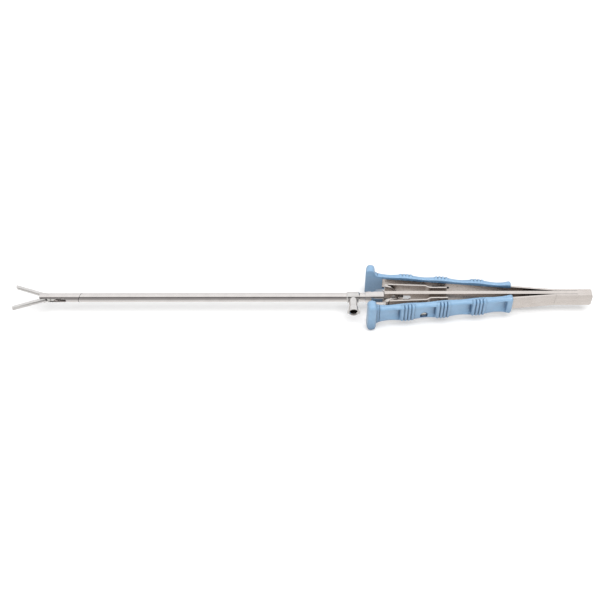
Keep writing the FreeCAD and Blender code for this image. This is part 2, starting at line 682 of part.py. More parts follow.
def spring_arm():
    body = prism_y(arm_height_outline(), -ARM_HALF, ARM_HALF)

    def front_corner(edge):
        spread = edge.BoundBox
        return spread.XMax < NUDGE - ARM_LENGTH and spread.ZLength < NUDGE

    body = round_edges(body, ARM_TIP_R, front_corner)
    root = pin_z(ARM_HALF, 0, 0, -BAR_HEIGHT / 2, BAR_HEIGHT / 2)
    body = body.fuse(root).removeSplitter()
    half = ARM_SLOT_HEIGHT / 2
    reach = ARM_SLOT_LENGTH / 2
    x = post_x()
    slot = box(x - reach, x + reach, -ARM_THICK, ARM_THICK, -half, half)
    body = body.cut(slot)
    hole = Part.makeCylinder(SCREW_R, 2 * ARM_THICK, V(-SCREW_AT, -ARM_THICK, SCREW_OFF), Y_AXIS)
    return body.cut(hole)


def arm_root():
    """The stretch of the right arm behind the bending line, fixed to the bar."""
    inner = BAR_THICK / 2
    plate = tail_outline(FLEX_X, inner, inner + ARM_SLIT + ARM_THICK, BAR_HEIGHT)
    slit = box(FLEX_X - NUDGE, TAIL_X - ARM_WELD, 0, inner + ARM_SLIT, -BAR_HEIGHT, BAR_HEIGHT)
    plate = plate.cut(slit)
    return plate.cut(pin_z(ARM_HALF + FLEX_GAP, FLEX_X, FLEX_Y, -BAR_HEIGHT, BAR_HEIGHT))


def pad_level(s):
    """Outer face of the grip at a distance from the bending line."""
    phase = 2 * math.pi * (s - RIDGE_CENTRE) / RIDGE_GROUP_PITCH
    return ARM_HALF + PAD_MEAN + PAD_WAVE * math.cos(phase)


def grip_outline():
    """The grip seen from above, with its waves and its collar."""
    inner = -ARM_HALF - GRIP_LIP
    collar_inner = -ARM_HALF - COLLAR_WALL
    collar_back = COLLAR_FRONT - COLLAR_LENGTH
    step = RIDGE_GROUP_PITCH / 4
    waves = [V(-GRIP_END, pad_level(GRIP_END), 0)]
    count = int((COLLAR_FRONT - GRIP_END) / step)
    for i in range(1, count):
        s = COLLAR_FRONT - (count - i) * step
        waves.append(V(-s, pad_level(s), 0))
    waves.append(V(-COLLAR_FRONT, pad_level(COLLAR_FRONT), 0))
    top = Part.BSplineCurve()
    top.interpolate(waves)
    edges = [
        Part.LineSegment(V(-GRIP_END, inner, 0), waves[0]),
        top,
        Part.LineSegment(waves[-1], V(-COLLAR_FRONT, collar_inner, 0)),
        Part.LineSegment(V(-COLLAR_FRONT, collar_inner, 0), V(-collar_back, collar_inner, 0)),
        Part.LineSegment(V(-collar_back, collar_inner, 0), V(-collar_back, inner, 0)),
        Part.LineSegment(V(-collar_back, inner, 0), V(-GRIP_END, inner, 0)),
    ]
    return Part.Face(Part.Wire([edge.toShape() for edge in edges]))


def finger_stop():
    """Crossbar at the front end of the grip, with a fillet to the grip's upper and lower edge."""
    inner = -ARM_HALF - COLLAR_WALL
    half = STOP_HEIGHT / 2
    back = STOP_LENGTH - COLLAR_FRONT
    bar = box(-COLLAR_FRONT, back, inner, STOP_OUT, -half, half)
    bar = round_edges(bar, STOP_END_R, lambda e: e.BoundBox.YLength > STOP_OUT)
    bar = round_edges(bar, STOP_EDGE_R, lambda e: e.BoundBox.YMin > STOP_OUT - NUDGE)
    edge = GRIP_HEIGHT / 2
    foot = edge - GRIP_ROUND
    outer = pad_level(COLLAR_FRONT - STOP_LENGTH) - GRIP_ROUND
    for side in (-1, 1):
        low, high = sorted((side * foot, side * (edge + STOP_FILLET)))
        corner = box(back - STOP_LENGTH / 2, back + STOP_FILLET, inner, outer, low, high)
        hollow = Part.makeCylinder(STOP_FILLET, 4 * STOP_OUT,
                                   V(back + STOP_FILLET, -2 * STOP_OUT, side * (edge + STOP_FILLET)),
                                   Y_AXIS)
        bar = bar.fuse(corner.cut(hollow))
    return bar


def ridge(s):
    level = pad_level(s) + RIDGE_RISE - RIDGE_R
    half = GRIP_HEIGHT / 2
    bar = pin_z(RIDGE_R, -s, level, -half, half)
    return bar.makeFillet(RIDGE_END_R, [e for e in bar.Edges if isinstance(e.Curve, Part.Circle)])


def scoop(s_back):
    """A finger hollow whose floor falls towards the ridges behind it."""
    s_front = s_back + SCOOP_LENGTH
    above = 2 * STOP_OUT
    points = [(-s_front, pad_level(s_front) - SCOOP_START), (-s_front, above), (-s_back, above),
              (-s_back, pad_level(s_back) - SCOOP_DEPTH)]
    half = GRIP_HEIGHT / 2 - SCOOP_RIM
    hollow = prism_z(points, -half, half)
    floor = [e for e in hollow.Edges
             if e.BoundBox.YMax < pad_level(s_front) + NUDGE and e.BoundBox.XLength > SCOOP_LENGTH / 2]
    return hollow.makeFillet(SCOOP_FLOOR_R, floor)


def grip():
    half = GRIP_HEIGHT / 2
    body = grip_outline().extrude(V(0, 0, GRIP_HEIGHT))
    body.translate(V(0, 0, -half))

    def outer_rim(edge):
        spread = edge.BoundBox
        flat = spread.ZLength < 1e-6
        return flat and spread.YMax > ARM_HALF + PAD_MEAN - PAD_WAVE and spread.XLength > NUDGE

    body = round_edges(body, GRIP_ROUND, outer_rim).fuse(finger_stop())
    for group in range(RIDGE_GROUPS):
        middle = RIDGE_CENTRE - group * RIDGE_GROUP_PITCH
        for i in range(RIDGES):
            body = body.fuse(ridge(middle + (i - (RIDGES - 1) / 2) * RIDGE_PITCH))
    edge_of_group = RIDGE_PITCH * (RIDGES - 1) / 2 + RIDGE_R + SCREW_GAP
    for group in range(RIDGE_GROUPS + 1):
        body = body.cut(scoop(RIDGE_CENTRE - group * RIDGE_GROUP_PITCH + edge_of_group))
    back = COLLAR_FRONT - COLLAR_LENGTH
    opening = ARM_HEIGHT / 2 - GRIP_LIP_WIDTH
    body = body.cut(box(-back, -GRIP_END + NUDGE, -2 * ARM_THICK, 0, -opening, opening))
    tunnel = round_edges(prism_y(arm_height_outline(), -ARM_HALF, ARM_HALF), ARM_TIP_R,
                         lambda e: e.BoundBox.XMax < NUDGE - ARM_LENGTH
                         and e.BoundBox.ZLength < NUDGE)
    body = body.cut(tunnel)
    ring = box(-SEAM_AT - SEAM_WIDTH, -SEAM_AT, pad_level(SEAM_AT) - SEAM_DEPTH,
               STOP_OUT, -GRIP_HEIGHT, GRIP_HEIGHT)
    body = body.cut(ring)
    level = -ARM_HALF - COLLAR_WALL + SCORE_DEPTH - SCORE_R
    for z in (-SCORE_OFF, SCORE_OFF):
        score = Part.makeCylinder(SCORE_R, COLLAR_LENGTH + 2 * NUDGE,
                                  V(-COLLAR_FRONT - NUDGE, level, z), X_AXIS)
        body = body.cut(score)
    head = Part.makeCylinder(SCREW_HEAD_R + SCREW_GAP, STOP_OUT,
                             V(-SCREW_AT, ARM_HALF, SCREW_OFF), Y_AXIS)
    body = body.cut(head)
    x = post_x()
    long_half = ARM_SLOT_LENGTH / 2
    tall_half = RIVET_R + SCREW_GAP
    pocket = box(x - long_half, x + long_half, ARM_HALF, ARM_HALF + RIVET_THICK + SCREW_GAP,
                 -tall_half, tall_half)
    return body.cut(pocket)


def grip_screw():
    head = Part.makeCylinder(SCREW_HEAD_R, SCREW_HEAD_THICK, V(-SCREW_AT, ARM_HALF, SCREW_OFF),
                             Y_AXIS)
    outer = ARM_HALF + SCREW_HEAD_THICK
    head = head.makeChamfer(SCREW_CHAMFER, [e for e in head.Edges if e.BoundBox.YMin > outer - 1e-3])
    slot = box(-SCREW_AT - SCREW_HEAD_R, -SCREW_AT + SCREW_HEAD_R,
               outer - SCREW_HEAD_THICK / 2, outer + NUDGE,
               SCREW_OFF - SCREW_SLOT_WIDTH / 2, SCREW_OFF + SCREW_SLOT_WIDTH / 2)
    shank = Part.makeCylinder(SCREW_R, ARM_THICK + SCREW_TAIL,
                              V(-SCREW_AT, -ARM_HALF - SCREW_TAIL, SCREW_OFF), Y_AXIS)
    return head.cut(slot).fuse(shank).removeSplitter()


def leaf_post():
    """Bracket that carries the inner leaf, adjustable along the arm's slot."""
    x = post_x()
    half = POST_LENGTH / 2
    tall = POST_HEIGHT / 2
    inner = -ARM_HALF
    plate = box(x - half, x + half, inner - POST_PLATE, inner, -tall, tall)
    tongue = POST_TONGUE / 2
    through = box(x - half, x + half, inner, ARM_HALF, -tongue, tongue)
    rivet = Part.makeCylinder(RIVET_R, RIVET_THICK, V(x, ARM_HALF, 0), Y_AXIS)
    body = arm_place(plate.fuse(through).fuse(rivet).removeSplitter())
    outer_leaf = LEAF_Y + LEAF_THICK / 2
    corner = V(x, inner, 0)
    corner = FreeCAD.Rotation(Z_AXIS, -ARM_ANGLE).multVec(corner) + V(FLEX_X, FLEX_Y, 0)
    stem = box(corner.x - half, corner.x + half, outer_leaf, corner.y, -tall / 2, tall / 2)
    lip = math.tan(math.radians(ARM_ANGLE)) * half
    stem = stem.cut(arm_place(box(x - 2 * half, x + 2 * half, inner, ARM_LENGTH, -tall, tall)))
    stem = stem.fuse(box(corner.x - half, corner.x + half, outer_leaf, corner.y - lip,
                         -tall / 2, tall / 2))
    return body.fuse(stem).removeSplitter()


# All pieces, at rest with the jaws open and the handle released

def pieces():
    yield "jaw_fork", jaw_fork()
    yield "jaw_pivot_pin", jaw_pivot_pin()
    yield "shaft_tube", shaft_tube()
    yield "port_ring", port_ring()
    yield "luer_port", luer_port()
    yield "rod_seal", rod_seal()
    yield "handle_hub", hub()
    yield "centre_bar", centre_bar()
    yield "pull_rod", pull_rod()
    yield "rod_cross_pin", rod_cross_pin()
    yield "slider", slider()
    yield "slider_pins", slider_pins()
    yield "right_jaw", right_jaw()
    yield "left_jaw", left_jaw()
    right = {
        "knee_pin": knee_pin(),
        "knee_link": knee_link(),
        "handle_link": handle_link(),
        "link_pin": link_pin(),
        "inner_leaf": inner_leaf(),
        "leaf_post": leaf_post(),
        "arm_root": arm_root(),
        "spring_arm": arm_place(spring_arm()),
        "grip": arm_place(grip()),
        "grip_screw": arm_place(grip_screw()),
    }
    for name, shape in right.items():
        yield "right_" + name, shape
        yield "left_" + name, other_side(shape)


os.makedirs("parts", exist_ok=True)
for name, shape in pieces():
    placed = shape.copy()
    placed.translate(V(-ORIGIN_X, 0, -ORIGIN_Z))
    placed.exportStep("parts/" + name + ".step")
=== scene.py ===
"""Looks of the long-shafted grasping forceps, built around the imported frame."""

import math

import bmesh
import bpy
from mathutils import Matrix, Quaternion, Vector


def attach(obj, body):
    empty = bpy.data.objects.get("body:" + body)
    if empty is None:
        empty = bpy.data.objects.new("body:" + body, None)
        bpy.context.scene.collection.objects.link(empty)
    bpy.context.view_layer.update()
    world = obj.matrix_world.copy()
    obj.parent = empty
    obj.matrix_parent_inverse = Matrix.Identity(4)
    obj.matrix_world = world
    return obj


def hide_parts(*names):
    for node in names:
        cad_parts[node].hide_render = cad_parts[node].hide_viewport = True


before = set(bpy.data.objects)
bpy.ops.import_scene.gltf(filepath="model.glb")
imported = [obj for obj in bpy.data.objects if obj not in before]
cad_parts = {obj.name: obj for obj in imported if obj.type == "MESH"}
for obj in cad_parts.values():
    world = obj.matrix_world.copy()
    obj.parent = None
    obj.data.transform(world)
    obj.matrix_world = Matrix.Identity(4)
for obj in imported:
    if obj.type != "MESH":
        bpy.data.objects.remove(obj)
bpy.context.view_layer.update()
MM = 0.001

# Camera: long lens, looking along +Y and down
VIEW_ELEVATION = 50.0
VIEW_ROLL = 0.07
VIEW_DISTANCE = 0.68
VIEW_TARGET = Vector((-1.67 * MM, -1.27 * MM, 10.24 * MM))
VIEW_NEAR = 0.01
VIEW_FAR = 20
FRAME_WIDTH = 374.4 * MM
SENSOR = 36.0


def add_object(name, data):
    obj = bpy.data.objects.new(name, data)
    bpy.context.scene.collection.objects.link(obj)
    return obj


def make_camera():
    cam = bpy.data.cameras.new("camera")
    obj = add_object("camera", cam)
    tilt = math.radians(VIEW_ELEVATION)
    back = Vector((0, -math.cos(tilt), math.sin(tilt)))
    obj.location = VIEW_TARGET + back * VIEW_DISTANCE
    obj.rotation_mode = "QUATERNION"
    roll = Quaternion(back, math.radians(-VIEW_ROLL))
    obj.rotation_quaternion = roll @ (-back).to_track_quat("-Z", "Y")
    cam.sensor_width = SENSOR
    cam.lens = SENSOR * VIEW_DISTANCE / FRAME_WIDTH
    cam.clip_start = VIEW_NEAR
    cam.clip_end = VIEW_FAR
    bpy.context.scene.camera = obj


make_camera()


class Tree:
    """A node tree that is built from the sockets outwards."""

    def __init__(self, tree):
        self.tree = tree
        tree.nodes.clear()

    def add(self, kind, **values):
        node = self.tree.nodes.new(kind)
        for key, value in values.items():
            setattr(node, key, value)
        return node

    def put(self, socket, value):
        if isinstance(value, bpy.types.NodeSocket):
            self.tree.links.new(value, socket)
        else:
            socket.default_value = value

    def math(self, operation, first, second=0.0, third=0.0, clamp=False):
        node = self.add("ShaderNodeMath", operation=operation, use_clamp=clamp)
        self.put(node.inputs[0], first)
        self.put(node.inputs[1], second)
        self.put(node.inputs[2], third)
        return node.outputs[0]

    def place(self, scale):
        """Rest position in metres, stretched by the scale along each axis."""
        where = self.add("ShaderNodeTexCoord")
        mapping = self.add("ShaderNodeMapping")
        self.put(mapping.inputs["Vector"], where.outputs["Object"])
        self.put(mapping.inputs["Scale"], scale)
        return mapping.outputs[0]

    def noise(self, scale, detail, rough=0.5):
        """Noise with cells of 1/scale metres along each axis."""
        node = self.add("ShaderNodeTexNoise")
        self.put(node.inputs["Vector"], self.place(scale))
        self.put(node.inputs["Scale"], 1.0)
        self.put(node.inputs["Detail"], detail)
        self.put(node.inputs["Roughness"], rough)
        return node.outputs["Fac"]

    def remap(self, value, low, high, to_low=0.0, to_high=1.0):
        node = self.add("ShaderNodeMapRange")
        for socket, number in zip(node.inputs, (value, low, high, to_low, to_high)):
            self.put(socket, number)
        return node.outputs[0]

    def mix(self, factor, first, second):
        node = self.add("ShaderNodeMix", data_type="RGBA")
        self.put(node.inputs["Factor"], factor)
        self.put(node.inputs["A"], first)
        self.put(node.inputs["B"], second)
        return node.outputs["Result"]

    def openness(self, reach, low, high):
        """0 deep inside hollows of about the reach, 1 on open faces."""
        node = self.add("ShaderNodeAmbientOcclusion", samples=6)
        self.put(node.inputs["Distance"], reach)
        return self.remap(node.outputs["AO"], low, high)

    def round_edges(self, radius):
        node = self.add("ShaderNodeBevel", samples=4)
        self.put(node.inputs["Radius"], radius)
        return node.outputs[0]

    def bump(self, height, depth, normal=None):
        node = self.add("ShaderNodeBump")
        self.put(node.inputs["Height"], height)
        self.put(node.inputs["Distance"], depth)
        if normal is not None:
            self.put(node.inputs["Normal"], normal)
        return node.outputs[0]


def colour(red, green, blue):
    """sRGB numbers from 0 to 255 as a linear colour."""
    def linear(part):
        part /= 255
        return part / 12.92 if part <= 0.04045 else ((part + 0.055) / 1.055) ** 2.4
    return (linear(red), linear(green), linear(blue), 1.0)


def new_material(name):
    mat = bpy.data.materials.new(name)
    mat.use_nodes = True
    tree = Tree(mat.node_tree)
    shader = tree.add("ShaderNodeBsdfPrincipled")
    out = tree.add("ShaderNodeOutputMaterial")
    tree.put(out.inputs[0], shader.outputs[0])
    return mat, tree, shader


# Steel: painted shade darkens the nooks, which are the corners between pieces, and the gaps, the
# wider room between arms and bar
STEEL_CLOUD = (160, 160, 160)
STEEL_EDGE = 0.12 * MM
NOOK_REACH = 2.6 * MM
PAINTED_NOOK_SHADE = colour(60, 53, 50)
NOOK_RANGE = (0.12, 0.62)
# the port's bore takes stronger painted shade
PORT_NOOK_RANGE = (0.38, 0.82)
GAP_REACH = 10.0 * MM
PAINTED_GAP_SHADE = colour(168, 160, 155)
GAP_RANGE = (0.25, 0.75)


def steel(name, tone, dark_tone, rough, rough_spread, grain, grain_depth,
          nook_range=NOOK_RANGE, painted_gap_shade=False):
    """Stainless steel: grain along one direction, cloudy polish, painted shade in nooks and, where
    asked, in the gaps.
    """
    mat, tree, shader = new_material(name)
    tree.put(shader.inputs["Metallic"], 1.0)
    cloud = tree.noise(STEEL_CLOUD, 3.0)
    streak = tree.noise(grain, 4.0, 0.6)
    shade = tree.math("MULTIPLY_ADD", streak, 0.5, tree.math("MULTIPLY", cloud, 0.5))
    shade = tree.remap(shade, 0.3, 0.7)
    base = tree.mix(shade, dark_tone, tone)
    # painted shade in the wide room between arms and bar
    if painted_gap_shade:
        base = tree.mix(tree.openness(GAP_REACH, *GAP_RANGE), PAINTED_GAP_SHADE, base)
    # painted shade in nooks and corners between pieces
    base = tree.mix(tree.openness(NOOK_REACH, *nook_range), PAINTED_NOOK_SHADE, base)
    tree.put(shader.inputs["Base Color"], base)
    tree.put(shader.inputs["Roughness"],
             tree.remap(shade, 0.0, 1.0, rough + rough_spread, rough - rough_spread))
    tree.put(shader.inputs["Normal"],
             tree.bump(streak, grain_depth * MM, tree.round_edges(STEEL_EDGE)))
    return mat


# Moulded grips: painted shade darkens the colour near the bar, in the finger hollows and between the
# ribs
BLUE_TONE = colour(147, 185, 218)
BLUE_MOTTLE_TONE = colour(136, 174, 208)
BLUE_INSIDE = (14.0 * MM, 0.50, 0.95)
PAINTED_BLUE_INSIDE_SHADE = colour(80, 120, 156)
BLUE_HOLLOW = (4.0 * MM, 0.42, 0.96)
BLUE_GROOVE = (1.3 * MM, 0.55, 0.96)
PAINTED_BLUE_HOLLOW_SHADE = colour(34, 72, 110)
BLUE_EDGE = 0.2 * MM
STIPPLE_DEPTH = 0.006 * MM


def moulded_blue(name):
    """Satin moulded polymer: fine stipple, slight mottling and painted shade near the bar, in
    hollows and between ribs.
    """
    mat, tree, shader = new_material(name)
    mottle = tree.remap(tree.noise((220, 220, 220), 4.0, 0.55), 0.3, 0.7)
    unshaded_blue = tree.mix(mottle, BLUE_MOTTLE_TONE, BLUE_TONE)
    # painted shade on the grips' inner faces near the bar
    unshaded_blue = tree.mix(tree.openness(*BLUE_INSIDE), PAINTED_BLUE_INSIDE_SHADE, unshaded_blue)
    # painted shade in the finger hollows and the grooves between ribs
    unshaded_share = tree.math("MULTIPLY", tree.openness(*BLUE_HOLLOW), tree.openness(*BLUE_GROOVE))
    tree.put(shader.inputs["Base Color"], tree.mix(unshaded_share, PAINTED_BLUE_HOLLOW_SHADE, unshaded_blue))
    tree.put(shader.inputs["Roughness"], tree.remap(mottle, 0.0, 1.0, 0.36, 0.28))
    tree.put(shader.inputs["Specular IOR Level"], 0.9)
    tree.put(shader.inputs["IOR"], 1.6)
    stipple = tree.noise((5200, 5200, 5200), 1.0)
    tree.put(shader.inputs["Normal"],
             tree.bump(stipple, STIPPLE_DEPTH, tree.round_edges(BLUE_EDGE)))
    return mat


def seal_black(name):
    """Dull black rubber."""
    mat, tree, shader = new_material(name)
    cloud = tree.noise((900, 900, 900), 3.0)
    tree.put(shader.inputs["Base Color"],
             tree.mix(cloud, colour(24, 24, 25), colour(40, 40, 42)))
    tree.put(shader.inputs["Roughness"], tree.remap(cloud, 0.0, 1.0, 0.5, 0.7))
    tree.put(shader.inputs["Normal"], tree.bump(cloud, 0.02 * MM))
    return mat


MATERIALS = {
    "shaft_steel": steel("shaft_polished", colour(240, 236, 234), colour(228, 223, 221),
                         0.12, 0.03, (60, 2600, 2600), 0.002),
    "port_chrome": steel("port_bright", colour(236, 234, 232), colour(220, 218, 216),
                         0.10, 0.03, (900, 900, 900), 0.001, nook_range=PORT_NOOK_RANGE),
    "spring_steel": steel("spring_satin", colour(238, 231, 226), colour(222, 214, 208),
                          0.26, 0.05, (45, 2200, 1500), 0.004, painted_gap_shade=True),
    "jaw_steel": steel("jaw_matt", colour(238, 236, 234), colour(222, 220, 218),
                       0.36, 0.06, (1400, 1400, 1400), 0.006),
    "screw_steel": steel("screw_bright", colour(226, 228, 226), colour(204, 206, 204),
                         0.18, 0.05, (700, 700, 700), 0.003),
    "grip_blue": moulded_blue("grip_satin_blue"),
    "seal_rubber": seal_black("seal_black"),
}


def dress_nodes():
    for name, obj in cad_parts.items():
        for index, old in enumerate(obj.data.materials):
            key = old.name.split(".")[0] if old else ""
            if key in MATERIALS:
                obj.data.materials[index] = MATERIALS[key]
            else:
                print("no material for", name, key)


dress_nodes()

# Grips, in millimetres in the arm's own frame: s runs from the bending line to the front, y outwards
# from the arm's middle plane and z upwards from the shaft's axis
ARM_ANGLE = math.radians(5.57)
FLEX = Vector((156.82, 1.975, 11.3))
ARM_HALF = 0.575
GRIP_END = 27.2
GRIP_FRONT = 117.9
GRIP_HALF = 6.5
GRIP_ROUND_HEIGHT = 1.8
GRIP_ROUND_LEVEL = 1.4
PAST_FRONT = 9              # such a rounding ends beyond the front, so only the rear end is round
PAD_MEAN = 1.95
HEIGHT_WAVE = 0.3
HEIGHT_WAVE_MEAN = 0.25
WAVE_FADE = 6               # the wave of the height fades out towards the finger stop
LEVEL_WAVE = 0.4
FLARE_START = 6             # the rear end is a little wider
FLARE_LENGTH = 5
FLARE_HEIGHT = 0.5
FLARE_LEVEL = 0.35
CORNER_R = 1.9
CORNER_SHARE = 0.48
INNER_EDGE = 0.4
INNER_EDGE_STEP = 0.12
INNER_ROUND = 0.5
LIP = 0.4
LIP_OPENING = 4.2
LIP_WALL = 0.05
RECESS_GAP = 0.04
COLLAR_BACK = 107.1
COLLAR_WALL = 0.6
STOP_BACK = 112.4
STOP_HALF = 11.3
STOP_OUT = 4.87
STOP_ROUND_HEIGHT = 2.6
STOP_ROUND_LEVEL = 1.7
STOP_FILLET_HEIGHT = 4.2
STOP_FILLET_LEVEL = 0.9

# Ribs and finger hollows between them
GROUP_MIDDLE = 92.8
GROUP_PITCH = 22.2
RIB_GROUPS = 3
RIB_PITCH = 2.15
RIB_REACH = 2 * RIB_PITCH   # half of a group's length
RIB_RISE = 0.72
RIB_ROUND = 0.7
RIB_GROOVE = 0.15
HOLLOWS = 4
HOLLOW_GAP = 0.9
HOLLOW_WALL = 0.8
HOLLOW_LENGTH = 10.0
HOLLOW_DEPTH = 1.7
HOLLOW_HALF = 3.0
HOLLOW_WIDENING = 2.1

SCREW_PLACE = (82.4, 3.2)
SCREW_POCKET = 2.15
POCKET_WALL = 0.2
POCKET_FLOOR = 0.62
SEAM_PLACE = 110.3
SEAM_LENGTH = 0.35
SEAM_DEPTH = 0.28

STATION_COUNT = 420
ARC_STEPS = 8
FACE_STEPS = 24
SHARP_ANGLE = math.radians(48)


def smooth(value):
    value = min(max(value, 0.0), 1.0)
    return value * value * (3 - 2 * value)


def arc(share):
    """Rise of a quarter circle of radius 1 at a share of its run."""
    return 1 - math.sqrt(max(1 - share ** 2, 0.0))


def bulge(s, start, end, radius):
    """0 between start and end, and how far a rounded edge falls back near them."""
    near = min(s - start, end - s)
    if near >= radius:
        return 0.0
    return radius - math.sqrt(max(radius ** 2 - (radius - near) ** 2, 0.0))


def wave(s):
    """1 in the middle of a group of ribs, -1 halfway to the next one."""
    return math.cos(2 * math.pi * (s - GROUP_MIDDLE) / GROUP_PITCH)


def flare(s):
    return smooth((GRIP_END + FLARE_START - s) / FLARE_LENGTH)


def half_height(s):
    """Half of the grip's height at s, with the crossbar of the finger stop at the front."""
    if s >= STOP_BACK:
        return STOP_HALF - bulge(s, STOP_BACK, GRIP_FRONT, STOP_ROUND_HEIGHT)
    half = GRIP_HALF
    half += HEIGHT_WAVE * (wave(s) - HEIGHT_WAVE_MEAN) * smooth((STOP_BACK - s) / WAVE_FADE)
    half += FLARE_HEIGHT * flare(s)
    half -= bulge(s, GRIP_END, GRIP_FRONT + PAST_FRONT, GRIP_ROUND_HEIGHT)
    share = (s - STOP_BACK + STOP_FILLET_HEIGHT) / STOP_FILLET_HEIGHT
    if share > 0:
        half += (STOP_HALF - STOP_ROUND_HEIGHT - half) * arc(share)
    return half


def outer_level(s):
    """Outward place of the grip's face at s, without ribs and hollows."""
    if s >= STOP_BACK:
        return STOP_OUT - bulge(s, STOP_BACK, GRIP_FRONT, STOP_ROUND_LEVEL)
    level = ARM_HALF + PAD_MEAN + LEVEL_WAVE * wave(s)
    level += FLARE_LEVEL * flare(s)
    level -= bulge(s, GRIP_END, GRIP_FRONT + PAST_FRONT, GRIP_ROUND_LEVEL)
    share = (s - STOP_BACK + STOP_FILLET_LEVEL) / STOP_FILLET_LEVEL
    if share > 0:
        level += (STOP_OUT - STOP_ROUND_LEVEL - level) * arc(share)
    return level


def ribs(s):
    """Raised bands of a group, with a narrow groove on each side of a band."""
    for group in range(RIB_GROUPS):
        along = s - (GROUP_MIDDLE - group * GROUP_PITCH)
        if abs(along) <= RIB_REACH:
            crest = abs(math.sin(math.pi * along / RIB_PITCH)) ** RIB_ROUND
            return RIB_RISE * crest - RIB_GROOVE
    return 0.0


def hollow(s, z):
    """Depth of the finger hollows, deepest at their rear end and in the middle of the face."""
    for group in range(HOLLOWS):
        back = GROUP_MIDDLE - group * GROUP_PITCH + RIB_REACH + HOLLOW_GAP
        share = (back + HOLLOW_LENGTH - s) / HOLLOW_LENGTH
        if share <= 0 or s < back - HOLLOW_WALL:
            continue
        along = share ** 1.5 if share <= 1 else smooth(1 - (back - s) / HOLLOW_WALL)
        reach = HOLLOW_HALF + HOLLOW_WIDENING * min(share, 1.0)
        across = max(1 - (z / reach) ** 2, 0.0) ** 0.8
        return HOLLOW_DEPTH * along * across
    return 0.0


def seam(s):
    """Depth of the fine joint line around the collar."""
    return SEAM_DEPTH if 0 <= s - SEAM_PLACE <= SEAM_LENGTH else 0.0


def pocket(s, z):
    """1 in the hole around the screw's head."""
    far = math.hypot(s - SCREW_PLACE[0], z - SCREW_PLACE[1])
    return smooth((SCREW_POCKET + POCKET_WALL - far) / POCKET_WALL)


def face_level(s, z, plain):
    level = plain - hollow(s, z)
    sunk = pocket(s, z)
    return level + (POCKET_FLOOR - level) * sunk if sunk > 0 else level


def section(s):
    """Points of the grip's section at s, as outward and upward places, once around."""
    half = half_height(s)
    outer = outer_level(s)
    collar = s > COLLAR_BACK
    inner = -ARM_HALF - (COLLAR_WALL if collar else LIP)
    inner += bulge(s, GRIP_END, GRIP_FRONT, INNER_ROUND)
    corner = min(CORNER_R, CORNER_SHARE * (outer - inner))
    raised = ribs(s)
    groove = seam(s)
    # From the middle of the inner face upwards and round to the outer face
    floor = inner if collar else ARM_HALF + RECESS_GAP
    edge = [(floor, LIP_OPENING * share) for share in (0.0, 0.5, 1.0)]
    edge += [(inner, LIP_OPENING + LIP_WALL),
             (inner, half - INNER_EDGE),
             (inner + INNER_EDGE_STEP, half - INNER_EDGE_STEP),
             (inner + INNER_EDGE, half)]
    flat = outer - corner - inner - INNER_EDGE
    for share in (0.25, 0.5, 0.75):
        edge.append((inner + INNER_EDGE + flat * share, half + raised * share ** 2 - groove))
    for i in range(ARC_STEPS + 1):
        angle = math.radians(90 - 90 * i / ARC_STEPS)
        reach = corner + raised - groove
        edge.append((outer - corner + reach * math.cos(angle),
                     half - corner + reach * math.sin(angle)))
    # Down the outer face, then back the same way below
    upper = [(half - corner) * (1 - i / FACE_STEPS) for i in range(1, FACE_STEPS)]
    heights = upper + [0.0] + [-z for z in reversed(upper)]
    face = [(face_level(s, z, outer + raised - groove), z) for z in heights]
    return edge + face + [(y, -z) for y, z in reversed(edge[1:])]


def stations():
    """Places of the sections, closer together at edges."""
    length = GRIP_FRONT - GRIP_END
    places = {GRIP_END + length * i / STATION_COUNT for i in range(STATION_COUNT + 1)}
    for near in (0.01, 0.04, 0.09, 0.15):
        places |= {STOP_BACK + near, STOP_BACK - near, GRIP_FRONT - near, GRIP_END + near}
    seam_end = SEAM_PLACE + SEAM_LENGTH
    places |= {SEAM_PLACE - 0.01, SEAM_PLACE, seam_end, seam_end + 0.01}
    places |= {STOP_BACK - 0.001, STOP_BACK, COLLAR_BACK, COLLAR_BACK + 0.01}
    return sorted({round(place, 4) for place in places})


def arm_point(s, y, z, side):
    """Place of a point of the arm's frame, side 1 for the right arm and -1 for the left."""
    turn_cos = math.cos(ARM_ANGLE)
    turn_sin = math.sin(ARM_ANGLE)
    across = FLEX.y + s * turn_sin + y * turn_cos
    along = FLEX.x - s * turn_cos + y * turn_sin
    return Vector((along * MM, side * across * MM, (FLEX.z + side * z) * MM))


def ring_faces(start, next_start, width):
    """Quads between two rings of points."""
    faces = []
    for j in range(width):
        k = (j + 1) % width
        faces.append((start + j, start + k, next_start + k, next_start + j))
    return faces


def make_grip(name, side):
    rows = [[arm_point(s, y, z, side) for y, z in section(s)] for s in stations()]
    width = len(rows[0])
    verts = [point for row in rows for point in row]
    last = len(verts) - width
    faces = []
    for start in range(0, last, width):
        faces += ring_faces(start, start + width, width)
    faces.append(tuple(reversed(range(width))))
    faces.append(tuple(range(last, last + width)))
    mesh = bpy.data.meshes.new(name + "_skin")
    mesh.from_pydata(verts, [], faces)
    check = bmesh.new()
    check.from_mesh(mesh)
    bmesh.ops.recalc_face_normals(check, faces=check.faces)
    check.to_mesh(mesh)
    check.free()
    mesh.shade_smooth()
    mesh.set_sharp_from_angle(angle=SHARP_ANGLE)
    obj = add_object(name + "_skin", mesh)
    mesh.materials.append(MATERIALS["grip_blue"])
    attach(obj, name.split("_")[0] + "_arm")
    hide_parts(name)


make_grip("right_grip", 1)
make_grip("left_grip", -1)

# Slanted joint between the front piece of the shaft and its tube, marked by a ring of painted shade
TUBE_R = 2.8
JOINT_SLANT = math.radians(25)
JOINT_SECTION = ((2.74, -0.14), (2.82, -0.14), (2.82, 0.14), (2.74, 0.14))
JOINT_STEPS = 64


